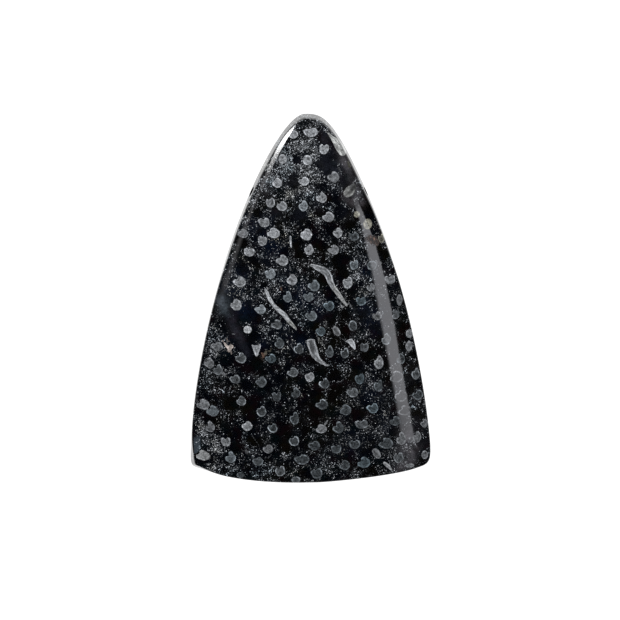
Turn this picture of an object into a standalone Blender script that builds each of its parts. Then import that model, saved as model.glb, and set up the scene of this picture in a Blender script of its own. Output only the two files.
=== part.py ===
"""Petrified palm wood cabochon: one polished stone with a flat back, a low dome and a hole for a cord.

The stone lies on its back with its narrow tip towards +Y. The origin is the middle of the back.
"""

import math

import bmesh
import bpy
import numpy as np
from mathutils import Vector
from mathutils.geometry import interpolate_bezier

MM = 0.001

# The edge as seen from above, clockwise from the tip. Each point has its place in millimetres, the
# heading of the edge there in degrees, and how far in millimetres the curve keeps to that heading
# before and after the point. The right and left sides have their points at the same levels.
EDGE_POINTS = (
    (-0.6, 22.1, 0.0, 2.0, 2.0),
    (7.1, 12.0, -66.5, 10.9, 11.2),
    (14.3, -16.5, -84.5, 6.5, 3.5),
    (12.6, -20.4, -159.0, 1.5, 2.7),
    (0.6, -22.1, 180.0, 1.4, 1.4),
    (-13.7, -20.3, 159.0, 6.0, 0.8),
    (-14.3, -16.5, 87.5, 3.3, 7.7),
    (-7.5, 12.0, 67.5, 10.0, 4.9),
)
# Steps along each curve of the right side, from the tip to the base. The left side repeats them.
STEPS_PER_CURVE = (20, 20, 8, 12)

# The section: a bevel round the back, a wall that leans in, a softened edge and a dome.
THICKNESS = 6.0 * MM
BACK_BEVEL = 0.3 * MM
WALL_TOP = 2.2 * MM
EDGE_ROUND = 0.12 * MM
EDGE_ROUND_STEPS = 3

# The wall leans in most at the tip and stands almost straight beside the base, in millimetres at the
# given levels. The left corner of the base leans in once more.
LEAN_LEVELS = (-21.0, -19.0, 2.0, 5.0, 11.0, 14.0, 20.0, 22.0)
LEANS = (0.15, 0.05, 0.05, 0.14, 0.20, 0.28, 0.31, 0.42)
LEFT_CORNER = Vector((-14.0, -19.7))
CORNER_LEAN = 0.4
CORNER_REACH = 2.2

# The dome leaves the edge at the slopes given here, as rise over run, and flattens to the crown. The
# crown is highest over the broad part. It falls a little to the base and more to the tip, where the
# stone is too narrow for the slope to reach any higher.
EDGE_SLOPE = 0.9
BASE_SLOPE = 0.76
SIDE_POWER = 2.8
CROWN_LEVEL = -11.0 * MM
TIP_FALL = 0.45
TIP_FALL_POWER = 1.8
BASE_FALL = 0.10
BASE_EASING = 11.0 * MM
CROWN_SOFTNESS = 1.0 * MM
RIDGE_SOFTNESS = 1.1 * MM

# The rings of points close in on a middle line that stops short of both ends.
TIP_FAN = 3.0 * MM
BASE_FAN = 6.0 * MM
DOME_RINGS = 16
RING_SPACING_POWER = 1.3
FINE_STEPS = 40

# The cord hole runs from side to side through the wall, below the tip.
HOLE_RADIUS = 0.5 * MM
HOLE_LEVEL = 12.9 * MM
HOLE_HEIGHT = 1.15 * MM
HOLE_CUTTER_LENGTH = 24.0 * MM
HOLE_SIDES = 20

STONE_COLOUR = (0.022, 0.022, 0.024, 1.0)
STONE_ROUGHNESS = 0.08
SHARP_ANGLE = math.radians(30.0)


def clear_scene():
    """Remove the objects that the file starts with."""
    for old in list(bpy.data.objects):
        bpy.data.objects.remove(old, do_unlink=True)


def stone_material():
    """Return the polished black stone's material."""
    material = bpy.data.materials.new("petrified_palm")
    material.use_nodes = True
    shader = material.node_tree.nodes["Principled BSDF"]
    shader.inputs["Base Color"].default_value = STONE_COLOUR
    shader.inputs["Roughness"].default_value = STONE_ROUGHNESS
    shader.inputs["Metallic"].default_value = 0.0
    return material


def edge_outline(detail=1):
    """Return the edge as points from the tip round the right side, the base and the left side."""
    steps = [count * detail for count in STEPS_PER_CURVE + tuple(reversed(STEPS_PER_CURVE))]
    points = []
    for index, start in enumerate(EDGE_POINTS):
        end = EDGE_POINTS[(index + 1) % len(EDGE_POINTS)]
        start_x, start_y, start_heading, _, reach_out = start
        end_x, end_y, end_heading, reach_in, _ = end
        start_way = Vector((math.cos(math.radians(start_heading)), math.sin(math.radians(start_heading))))
        end_way = Vector((math.cos(math.radians(end_heading)), math.sin(math.radians(end_heading))))
        start_point = Vector((start_x, start_y))
        end_point = Vector((end_x, end_y))
        curve = interpolate_bezier(
            start_point,
            start_point + start_way * reach_out,
            end_point - end_way * reach_in,
            end_point,
            steps[index] + 1,
        )
        points.extend(Vector((point.x, point.y)) * MM for point in curve[:-1])
    return centred(points)


def centred(points):
    """Move the points so that their box has its middle on the origin."""
    xs = [point.x for point in points]
    ys = [point.y for point in points]
    middle = Vector((min(xs) + max(xs), min(ys) + max(ys))) / 2.0
    return [point - middle for point in points]


def inset(points, distances):
    """Move each point of the edge inwards by its own distance, square to the edge."""
    moved = []
    for index, (point, distance) in enumerate(zip(points, distances)):
        along = points[(index + 1) % len(points)] - points[index - 1]
        inwards = Vector((along.y, -along.x)).normalized()
        moved.append(point + inwards * distance)
    return moved


def leaned_in(outline):
    """Move each point of the edge inwards as far as the wall above it leans."""
    leans = []
    for point in outline:
        to_corner = (point / MM - LEFT_CORNER).length
        lean = np.interp(point.y / MM, LEAN_LEVELS, LEANS)
        leans.append((lean + CORNER_LEAN * math.exp(-(to_corner / CORNER_REACH) ** 2)) * MM)
    return inset(outline, leans)


def middle_line(points):
    """Return for each edge point the point of the middle line that it shares with its opposite."""
    count = len(points)
    top = max(point.y for point in points) - TIP_FAN
    bottom = min(point.y for point in points) + BASE_FAN
    pairs = [(points[index] + points[-index % count]) / 2.0 for index in range(count)]
    inside = [pair for pair in pairs if bottom <= pair.y <= top]
    highest = max(inside, key=lambda pair: pair.y)
    lowest = min(inside, key=lambda pair: pair.y)
    return [highest if pair.y > top else lowest if pair.y < bottom else pair for pair in pairs]


def soft_minimum(first, second, softness):
    """Return the lower of two heights, with the ridge between them rounded."""
    nearness = max(softness - abs(first - second), 0.0) / softness
    return min(first, second) - nearness ** 3 * softness / 6.0


def running_on(points):
    """Return the points of a curve with both of its ends carried on straight."""
    first = points[0] + (points[0] - points[1]).normalized() * THICKNESS
    last = points[-1] + (points[-1] - points[-2]).normalized() * THICKNESS
    return [first] + points + [last]


class Dome:
    """The height of the polished face over any point of the plan."""

    def __init__(self):
        rim = leaned_in(edge_outline(FINE_STEPS))
        tip_to_flank, flank_to_hip, hip_to_corner, corner_to_base = (
            count * FINE_STEPS for count in STEPS_PER_CURVE
        )
        hip = tip_to_flank + flank_to_hip
        corner = hip + hip_to_corner
        right = list(reversed(running_on(rim[:hip + 1])[1:]))
        left = running_on(rim[-hip:] + rim[:1])[:-1]
        base = list(reversed(running_on(rim[corner:len(rim) - corner + 1])))
        self.right = ([point.y for point in right], [point.x for point in right])
        self.left = ([point.y for point in left], [point.x for point in left])
        self.base = ([point.x for point in base], [point.y for point in base])
        self.tip_y = rim[0].y
        self.base_y = rim[corner + corner_to_base].y

    def crown(self, y, half_width):
        """Return how far the crown is above the wall's top at the level y."""
        if y > CROWN_LEVEL:
            fall = TIP_FALL * ((y - CROWN_LEVEL) / (self.tip_y - CROWN_LEVEL)) ** TIP_FALL_POWER
        else:
            fall = BASE_FALL * ((CROWN_LEVEL - y) / (CROWN_LEVEL - self.base_y)) ** 2
        highest = (THICKNESS - WALL_TOP) * (1.0 - fall)
        return soft_minimum(highest, EDGE_SLOPE * half_width / SIDE_POWER, CROWN_SOFTNESS)

    def rise(self, x, y):
        """Return how far the face is above the wall's top."""
        right = np.interp(y, *self.right)
        left = np.interp(y, *self.left)
        half_width = (right - left) / 2.0
        if half_width <= 0.0:
            return 0.0
        off_middle = min(abs(x - (right + left) / 2.0) / half_width, 1.0)
        sides = self.crown(y, half_width) * (1.0 - off_middle ** SIDE_POWER)
        run = min(max(y - np.interp(x, *self.base), 0.0), BASE_EASING)
        base = BASE_SLOPE * run * (1.0 - run / (2.0 * BASE_EASING))
        return max(soft_minimum(sides, base, RIDGE_SOFTNESS), 0.0)

    def point(self, edge, middle, share):
        """Return the face's point at a share of the way from the edge to the middle line."""
        place = edge.lerp(middle, share)
        return Vector((place.x, place.y, WALL_TOP + self.rise(place.x, place.y)))


def stone_rings():
    """Return the rings of points from the back's rim, up the wall and over the dome."""
    outline = edge_outline()
    dome = Dome()
    rings = [
        [Vector((point.x, point.y, 0.0)) for point in inset(outline, [BACK_BEVEL] * len(outline))],
        [Vector((point.x, point.y, BACK_BEVEL)) for point in outline],
    ]
    rim = leaned_in(outline)
    ways = list(zip(rim, middle_line(rim)))
    corners = [dome.point(edge, middle, 0.0) for edge, middle in ways]
    below = [low.lerp(corner, 1.0 - EDGE_ROUND / WALL_TOP) for low, corner in zip(rings[-1], corners)]
    starts = [EDGE_ROUND / (edge - middle).length for edge, middle in ways]
    above = [dome.point(edge, middle, start) for (edge, middle), start in zip(ways, starts)]
    for step in range(EDGE_ROUND_STEPS + 1):
        turn = step / EDGE_ROUND_STEPS
        rings.append([
            low.lerp(corner, turn).lerp(corner.lerp(high, turn), turn)
            for low, corner, high in zip(below, corners, above)
        ])
    for ring in range(1, DOME_RINGS + 1):
        way = (ring / DOME_RINGS) ** RING_SPACING_POWER
        rings.append([
            dome.point(edge, middle, start + (1.0 - start) * way)
            for (edge, middle), start in zip(ways, starts)
        ])
    return rings


def stone_mesh():
    """Return the closed stone, before its hole is drilled."""
    form = bmesh.new()
    rings = [[form.verts.new(point) for point in ring] for ring in stone_rings()]
    for low, high in zip(rings, rings[1:]):
        for index in range(len(low)):
            after = (index + 1) % len(low)
            form.faces.new((low[index], high[index], high[after], low[after]))
    form.faces.new(rings[0])
    bmesh.ops.remove_doubles(form, verts=rings[-1], dist=0.001 * MM)
    bmesh.ops.dissolve_degenerate(form, edges=form.edges, dist=0.001 * MM)
    bmesh.ops.triangulate(form, faces=form.faces)
    bmesh.ops.recalc_face_normals(form, faces=form.faces)
    mesh = bpy.data.meshes.new("cabochon")
    form.to_mesh(mesh)
    form.free()
    mesh.materials.append(stone_material())
    mesh.shade_smooth()
    mesh.set_sharp_from_angle(angle=SHARP_ANGLE)
    return mesh


def drill_cutter():
    """Return the round bar that cuts the cord hole."""
    bpy.ops.mesh.primitive_cylinder_add(
        vertices=HOLE_SIDES,
        radius=HOLE_RADIUS,
        depth=HOLE_CUTTER_LENGTH,
        location=(0.0, HOLE_LEVEL, HOLE_HEIGHT),
        rotation=(0.0, math.radians(90.0), 0.0),
    )
    cutter = bpy.context.object
    cutter.name = "drill"
    cutter.hide_render = True
    cutter.display_type = "WIRE"
    return cutter


def build():
    """Make the drilled stone."""
    clear_scene()
    stone = bpy.data.objects.new("cabochon", stone_mesh())
    bpy.context.collection.objects.link(stone)
    cut = stone.modifiers.new("cord_hole", "BOOLEAN")
    cut.operation = "DIFFERENCE"
    cut.solver = "EXACT"
    cut.object = drill_cutter()


build()
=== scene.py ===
"""Petrified palm wood cabochon: the polished stone, its fossil grain, and the studio it lies in."""

import math

import bmesh
import bpy
import numpy as np
from mathutils import Matrix, Vector
from mathutils.geometry import interpolate_bezier


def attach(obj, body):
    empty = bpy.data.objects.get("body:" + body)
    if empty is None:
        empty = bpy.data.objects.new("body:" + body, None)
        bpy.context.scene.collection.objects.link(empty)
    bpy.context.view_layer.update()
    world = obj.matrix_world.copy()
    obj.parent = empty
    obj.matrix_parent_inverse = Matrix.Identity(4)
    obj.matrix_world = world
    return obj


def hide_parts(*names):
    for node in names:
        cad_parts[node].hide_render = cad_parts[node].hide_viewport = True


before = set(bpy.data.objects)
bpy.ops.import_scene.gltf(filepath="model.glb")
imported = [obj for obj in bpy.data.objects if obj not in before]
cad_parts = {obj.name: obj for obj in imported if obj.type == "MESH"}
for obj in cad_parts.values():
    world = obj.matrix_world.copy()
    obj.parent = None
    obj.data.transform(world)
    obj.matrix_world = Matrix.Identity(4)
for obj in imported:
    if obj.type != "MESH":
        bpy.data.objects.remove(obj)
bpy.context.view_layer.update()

# The stone's form
# One piece of silica rock, sawn to a slab, ground to a rounded triangle with a low dome, and polished.
# It lies on its flat back, tip towards +Y, and a cord hole is drilled through its wall below the tip.

MM = 0.001

# Each edge point has its place in millimetres, the heading of the edge in degrees, and how far in
# millimetres the curve keeps to that heading before and after it. They run clockwise from the tip.
# All but the levels 12.0 and -16.5 and the headings 0 and 180 come out of a fit to the photo's edge.
EDGE_POINTS = (
    (-0.6, 22.1, 0.0, 2.0, 2.0),
    (7.1, 12.0, -66.5, 10.9, 11.2),
    (14.3, -16.5, -84.5, 6.5, 3.5),
    (12.6, -20.4, -159.0, 1.5, 2.7),
    (0.6, -22.1, 180.0, 1.4, 1.4),
    (-13.7, -20.3, 159.0, 6.0, 0.8),
    (-14.3, -16.5, 87.5, 3.3, 7.7),
    (-7.5, 12.0, 67.5, 10.0, 4.9),
)
STEPS_PER_CURVE = (100, 100, 40, 60)
FORM_DETAIL = 8

THICKNESS = 6.0 * MM
BACK_BEVEL = 0.3 * MM
WALL_TOP = 2.2 * MM
EDGE_ROUND = 0.12 * MM
BEVEL_ROUND = 0.08 * MM
ROUND_STEPS = 5
WALL_STEPS = 5

# The wall leans in most at the tip and stands almost straight beside the base, in millimetres at the
# given levels. The left corner of the base leans in once more.
LEAN_LEVELS = (-21.0, -19.0, 2.0, 5.0, 11.0, 14.0, 20.0, 22.0)
LEANS = (0.15, 0.05, 0.05, 0.14, 0.20, 0.28, 0.31, 0.42)
LEFT_CORNER = (-14.0, -19.7)
CORNER_LEAN = 0.4
CORNER_REACH = 2.2

EDGE_SLOPE = 0.9
SIDE_POWER = 2.8
CROWN_LEVEL = -11.0 * MM
TIP_FALL = 0.45
TIP_FALL_POWER = 1.8
BASE_FALL = 0.10
BASE_SLOPE = 0.76
BASE_EASING = 11.0 * MM
CROWN_SOFTNESS = 1.0 * MM
RIDGE_SOFTNESS = 1.1 * MM

TIP_FAN = 3.0 * MM
BASE_FAN = 6.0 * MM
DOME_RINGS = 84
RING_SPACING_POWER = 1.15
BACK_RINGS = 36

HOLE_RADIUS = 0.5 * MM
HOLE_LEVEL = 12.9 * MM
HOLE_HEIGHT = 1.15 * MM
HOLE_SIDES = 48
HOLE_MOUTH = 6.55 * MM
# The drill bit flares from the hole's mouth to its own end outside the stone, which eases the mouth.
HOLE_END = 12.0 * MM
HOLE_END_RADIUS = 1.62 * MM
SHARP_ANGLE = math.radians(38.0)
MERGE_DISTANCE = 0.001 * MM
NARROWEST = 1e-9


def edge_outline(detail=1):
    """Return the edge seen from above, from the tip round the right side, the base and the left side."""
    steps = [count * detail for count in STEPS_PER_CURVE + tuple(reversed(STEPS_PER_CURVE))]
    points = []
    for index, (x, y, heading, _, reach_out) in enumerate(EDGE_POINTS):
        end_x, end_y, end_heading, reach_in, _ = EDGE_POINTS[(index + 1) % len(EDGE_POINTS)]
        way = Vector((math.cos(math.radians(heading)), math.sin(math.radians(heading))))
        end_way = Vector((math.cos(math.radians(end_heading)), math.sin(math.radians(end_heading))))
        start = Vector((x, y))
        end = Vector((end_x, end_y))
        handles = (start, start + way * reach_out, end - end_way * reach_in, end)
        curve = interpolate_bezier(*handles, steps[index] + 1)
        points.extend((point.x * MM, point.y * MM) for point in curve[:-1])
    points = np.array(points)
    return points - (points.min(axis=0) + points.max(axis=0)) / 2.0


def inset(points, distance):
    """Move each point of the edge inwards, square to the edge, by one distance or by its own."""
    along = np.roll(points, -1, axis=0) - np.roll(points, 1, axis=0)
    inwards = np.stack([along[:, 1], -along[:, 0]], axis=1)
    inwards /= np.linalg.norm(inwards, axis=1)[:, None]
    return points + inwards * distance


def leaned_in(outline):
    """Move each point of the edge inwards as far as the wall above it leans."""
    to_corner = np.linalg.norm(outline / MM - LEFT_CORNER, axis=1)
    lean = np.interp(outline[:, 1] / MM, LEAN_LEVELS, LEANS)
    lean += CORNER_LEAN * np.exp(-(to_corner / CORNER_REACH) ** 2)
    return inset(outline, lean[:, None] * MM)


def middle_line(points):
    """Return for each edge point the point of the middle line that it shares with its opposite."""
    opposite = np.roll(points[::-1], 1, axis=0)
    pairs = (points + opposite) / 2.0
    top = points[:, 1].max() - TIP_FAN
    bottom = points[:, 1].min() + BASE_FAN
    inside = pairs[(pairs[:, 1] >= bottom) & (pairs[:, 1] <= top)]
    middles = pairs.copy()
    middles[pairs[:, 1] > top] = inside[inside[:, 1].argmax()]
    middles[pairs[:, 1] < bottom] = inside[inside[:, 1].argmin()]
    return middles


def soft_minimum(first, second, softness):
    """Return the lower of two heights, with the ridge between them rounded."""
    nearness = np.maximum(softness - np.abs(first - second), 0.0) / softness
    return np.minimum(first, second) - nearness ** 3 * softness / 6.0


def carried_on(points, at_start, at_end):
    """Carry a curve on straight past its ends, where that is asked for."""
    before = points[0] + (points[0] - points[1]) / np.linalg.norm(points[0] - points[1]) * THICKNESS
    after = points[-1] + (points[-1] - points[-2]) / np.linalg.norm(points[-1] - points[-2]) * THICKNESS
    return np.array([before] * at_start + list(points) + [after] * at_end)


rim_line = leaned_in(edge_outline(FORM_DETAIL))
hip_index = (STEPS_PER_CURVE[0] + STEPS_PER_CURVE[1]) * FORM_DETAIL
corner_index = hip_index + STEPS_PER_CURVE[2] * FORM_DETAIL
right_side = carried_on(rim_line[:hip_index + 1], 0, 1)[::-1]
left_side = carried_on(np.concatenate([rim_line[-hip_index:], rim_line[:1]]), 1, 0)
base_side = carried_on(rim_line[corner_index:len(rim_line) - corner_index + 1], 1, 1)[::-1]
tip_y = rim_line[0, 1]
base_y = base_side[:, 1].min()


def dome_rise(x, y):
    """Return how far the polished face is above the wall's top over the points x, y of the plan."""
    right = np.interp(y, right_side[:, 1], right_side[:, 0])
    left = np.interp(y, left_side[:, 1], left_side[:, 0])
    half_width = np.maximum((right - left) / 2.0, NARROWEST)
    towards_tip = np.clip((y - CROWN_LEVEL) / (tip_y - CROWN_LEVEL), 0.0, 1.0)
    towards_base = np.clip((CROWN_LEVEL - y) / (CROWN_LEVEL - base_y), 0.0, 1.0)
    fall = TIP_FALL * towards_tip ** TIP_FALL_POWER + BASE_FALL * towards_base ** 2
    highest = (THICKNESS - WALL_TOP) * (1.0 - fall)
    crown = soft_minimum(highest, EDGE_SLOPE * half_width / SIDE_POWER, CROWN_SOFTNESS)
    off_middle = np.clip(np.abs(x - (right + left) / 2.0) / half_width, 0.0, 1.0)
    sides = crown * (1.0 - off_middle ** SIDE_POWER)
    run = np.clip(y - np.interp(x, base_side[:, 0], base_side[:, 1]), 0.0, BASE_EASING)
    base = BASE_SLOPE * run * (1.0 - run / (2.0 * BASE_EASING))
    return np.maximum(soft_minimum(sides, base, RIDGE_SOFTNESS), 0.0)


def at_height(points, height):
    """Lift points of the plan to a height, or to a height for each."""
    return np.column_stack([points, np.broadcast_to(height, len(points))])


def rounded(low, corner, high, steps):
    """Return the rings of a soft edge from low to high, drawn towards its sharp corner."""
    turns = [step / steps for step in range(steps + 1)]
    return [
        low * (1.0 - turn) ** 2 + corner * 2.0 * turn * (1.0 - turn) + high * turn ** 2
        for turn in turns
    ]


def stone_rings():
    """Return the rings of points from the middle of the back, up the wall, to the dome's middle line."""
    outline = edge_outline()
    back_rim = inset(outline, BACK_BEVEL + BEVEL_ROUND)
    back_middle = middle_line(back_rim)
    rings = []
    for ring in range(BACK_RINGS):
        share = ring / BACK_RINGS
        rings.append(at_height(back_middle * (1.0 - share) + back_rim * share, 0.0))
    back_corner = at_height(inset(outline, BACK_BEVEL), 0.0)
    bevel_top = at_height(outline, BACK_BEVEL)
    towards_bevel = BEVEL_ROUND / BACK_BEVEL
    bevel_start = back_corner * (1.0 - towards_bevel) + bevel_top * towards_bevel
    bevel_end = back_corner * towards_bevel + bevel_top * (1.0 - towards_bevel)
    rings.extend(rounded(at_height(back_rim, 0.0), back_corner, bevel_start, ROUND_STEPS))
    rim = leaned_in(outline)
    middles = middle_line(rim)
    wall_corner = at_height(rim, WALL_TOP + dome_rise(rim[:, 0], rim[:, 1]))
    wall_start = bevel_top + (wall_corner - bevel_top) * BEVEL_ROUND / WALL_TOP
    wall_end = wall_corner + (bevel_top - wall_corner) * EDGE_ROUND / WALL_TOP
    rings.extend(rounded(bevel_end, bevel_top, wall_start, ROUND_STEPS))
    for step in range(1, WALL_STEPS):
        rings.append(wall_start + (wall_end - wall_start) * step / WALL_STEPS)
    starts = (EDGE_ROUND / np.linalg.norm(rim - middles, axis=1))[:, None]
    dome_start = rim + (middles - rim) * starts
    dome_corner = at_height(dome_start, WALL_TOP + dome_rise(dome_start[:, 0], dome_start[:, 1]))
    rings.extend(rounded(wall_end, wall_corner, dome_corner, ROUND_STEPS))
    for ring in range(1, DOME_RINGS + 1):
        share = starts + (1.0 - starts) * (ring / DOME_RINGS) ** RING_SPACING_POWER
        place = rim + (middles - rim) * share
        rings.append(at_height(place, WALL_TOP + dome_rise(place[:, 0], place[:, 1])))
    return rings


def closed_mesh(name, rings):
    """Join the rings into a closed mesh of triangles with its faces outwards."""
    count = len(rings[0])
    corners = np.arange(count)
    after = (corners + 1) % count
    quads = [
        np.stack([low + corners, low + count + corners, low + count + after, low + after], axis=1)
        for low in range(0, (len(rings) - 1) * count, count)
    ]
    mesh = bpy.data.meshes.new(name)
    mesh.from_pydata(np.concatenate(rings).tolist(), [], np.concatenate(quads).tolist())
    form = bmesh.new()
    form.from_mesh(mesh)
    bmesh.ops.remove_doubles(form, verts=form.verts, dist=MERGE_DISTANCE)
    bmesh.ops.dissolve_degenerate(form, edges=form.edges, dist=MERGE_DISTANCE)
    bmesh.ops.triangulate(form, faces=form.faces)
    bmesh.ops.recalc_face_normals(form, faces=form.faces)
    form.to_mesh(mesh)
    form.free()
    return mesh


def drill_bit():
    """Return the round bar with flared ends that cuts the cord hole and eases its mouths."""
    stations = (
        (-HOLE_END, HOLE_END_RADIUS),
        (-HOLE_MOUTH, HOLE_RADIUS),
        (HOLE_MOUTH, HOLE_RADIUS),
        (HOLE_END, HOLE_END_RADIUS),
    )
    form = bmesh.new()
    rings = []
    for x, radius in stations:
        ring = []
        for side in range(HOLE_SIDES):
            turn = 2.0 * math.pi * side / HOLE_SIDES
            place = (x, HOLE_LEVEL + radius * math.cos(turn), HOLE_HEIGHT + radius * math.sin(turn))
            ring.append(form.verts.new(place))
        rings.append(ring)
    for low, high in zip(rings, rings[1:]):
        for side in range(HOLE_SIDES):
            following = (side + 1) % HOLE_SIDES
            form.faces.new((low[side], high[side], high[following], low[following]))
    form.faces.new(rings[0])
    form.faces.new(rings[-1])
    bmesh.ops.recalc_face_normals(form, faces=form.faces)
    mesh = bpy.data.meshes.new("drill_bit")
    form.to_mesh(mesh)
    form.free()
    bit = bpy.data.objects.new("drill_bit", mesh)
    bpy.context.scene.collection.objects.link(bit)
    return bit


def drilled(mesh, name):
    """Return the mesh with the cord hole cut through it."""
    blank = bpy.data.objects.new(name, mesh)
    bpy.context.scene.collection.objects.link(blank)
    bit = drill_bit()
    cut = blank.modifiers.new("cord_hole", "BOOLEAN")
    cut.operation = "DIFFERENCE"
    cut.solver = "EXACT"
    cut.object = bit
    graph = bpy.context.evaluated_depsgraph_get()
    result = bpy.data.meshes.new_from_object(blank.evaluated_get(graph))
    bpy.data.objects.remove(blank)
    bpy.data.objects.remove(bit)
    form = bmesh.new()
    form.from_mesh(result)
    bmesh.ops.triangulate(form, faces=form.faces)
    form.to_mesh(result)
    form.free()
    result.name = name
    result.shade_smooth()
    result.set_sharp_from_angle(angle=SHARP_ANGLE)
    return result


stone_mesh = drilled(closed_mesh("stone_blank", stone_rings()), "palm_cabochon")
stone = bpy.data.objects.new("palm_cabochon", stone_mesh)
bpy.context.scene.collection.objects.link(stone)

# The photo's view
# The stone was photographed from almost straight above, with a long lens that leans a little to the
# tip. The marks are read in this view's pixels, so it is set out before them.

PICTURE_SIZE = 620
FRAME_WIDTH = 74.15 * MM
PIXEL = FRAME_WIDTH / PICTURE_SIZE
LENS = 220.0
SENSOR = 36.0
SIGHT_ROUNDS = 8
AIM = Vector((-0.04, -1.38, 0.3)) * MM
LOOK_BACK = Vector((-0.03, 0.095, 1.0)).normalized()
image_right = Vector((0.0, 1.0, 0.0)).cross(LOOK_BACK).normalized()
image_up = LOOK_BACK.cross(image_right)
camera_place = AIM + LOOK_BACK * FRAME_WIDTH * LENS / SENSOR


def plan(x, y):
    """Turn a place in the photo into the plan of the point on the stone's face that it shows."""
    across = (x - PICTURE_SIZE / 2.0) * PIXEL
    up = (PICTURE_SIZE / 2.0 - y) * PIXEL
    ray = AIM + image_right * across + image_up * up - camera_place
    place = camera_place + ray
    for _ in range(SIGHT_ROUNDS):
        height = WALL_TOP + float(dome_rise(np.array([place.x]), np.array([place.y]))[0])
        place = camera_place + ray * ((height - camera_place.z) / ray.z)
    return np.array([place.x, place.y])


# The stone's fossil grain
# The trunk's fibre bundles, cut across by the face, are pale dots with a notch on one side. They run
# down through the stone, so the back shows them again and the wall shows them as streaks.
# The places and sizes of bundles and streaks are read off the photo, in its pixels.

FAR_OFF = 50.0
NOTCH_HEADING = 130.0
GRAIN_LEAN = (0.07, -0.05)
STREAK_DEPTH = 2.4 * MM
STREAK_EASING = 0.3 * MM
DISPLAY_WHITE = 255.0

# A tone is how light the inside and the rim are, as display greys, and a tint: -1 is blue, 0 plain,
# 1 cream, 2 rust and 3 pink. They are set beside the average grey of each mark in the photo.
TONES = {
    "white": (155, 126, 0.2),
    "pale": (131, 126, 0.0),
    "light": (114, 114, 0.0),
    "grey": (103, 93, 0.0),
    "soft": (86, 94, 0.0),
    "mid": (72, 96, -0.3),
    "dusk": (64, 88, -0.45),
    "deep": (57, 76, -0.45),
    "faint": (42, 84, 0.0),
    "hollow": (58, 112, -0.4),
    "blue light": (109, 110, -0.4),
    "blue mid": (84, 96, -0.5),
    "blue dusk": (65, 96, -0.9),
    "blue deep": (67, 78, -1.0),
    "warm": (80, 104, 0.9),
    "cream": (127, 80, 1.0),
    "bone": (116, 106, 0.3),
}

# The notches differ in depth, by a wave over the bundles' places. Those of paler bundles are shallower.
NOTCH_LEAST = 0.75
NOTCH_SPREAD = 0.5
NOTCH_WAVE = (12.9, 7.3)
SHALLOW_NOTCHES = {"pale": 0.75, "light": 0.9}

# A bundle that is taller than it is wide comes to a peak, the faster the slimmer it is.
PEAK_RATE = 6.0

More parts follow.
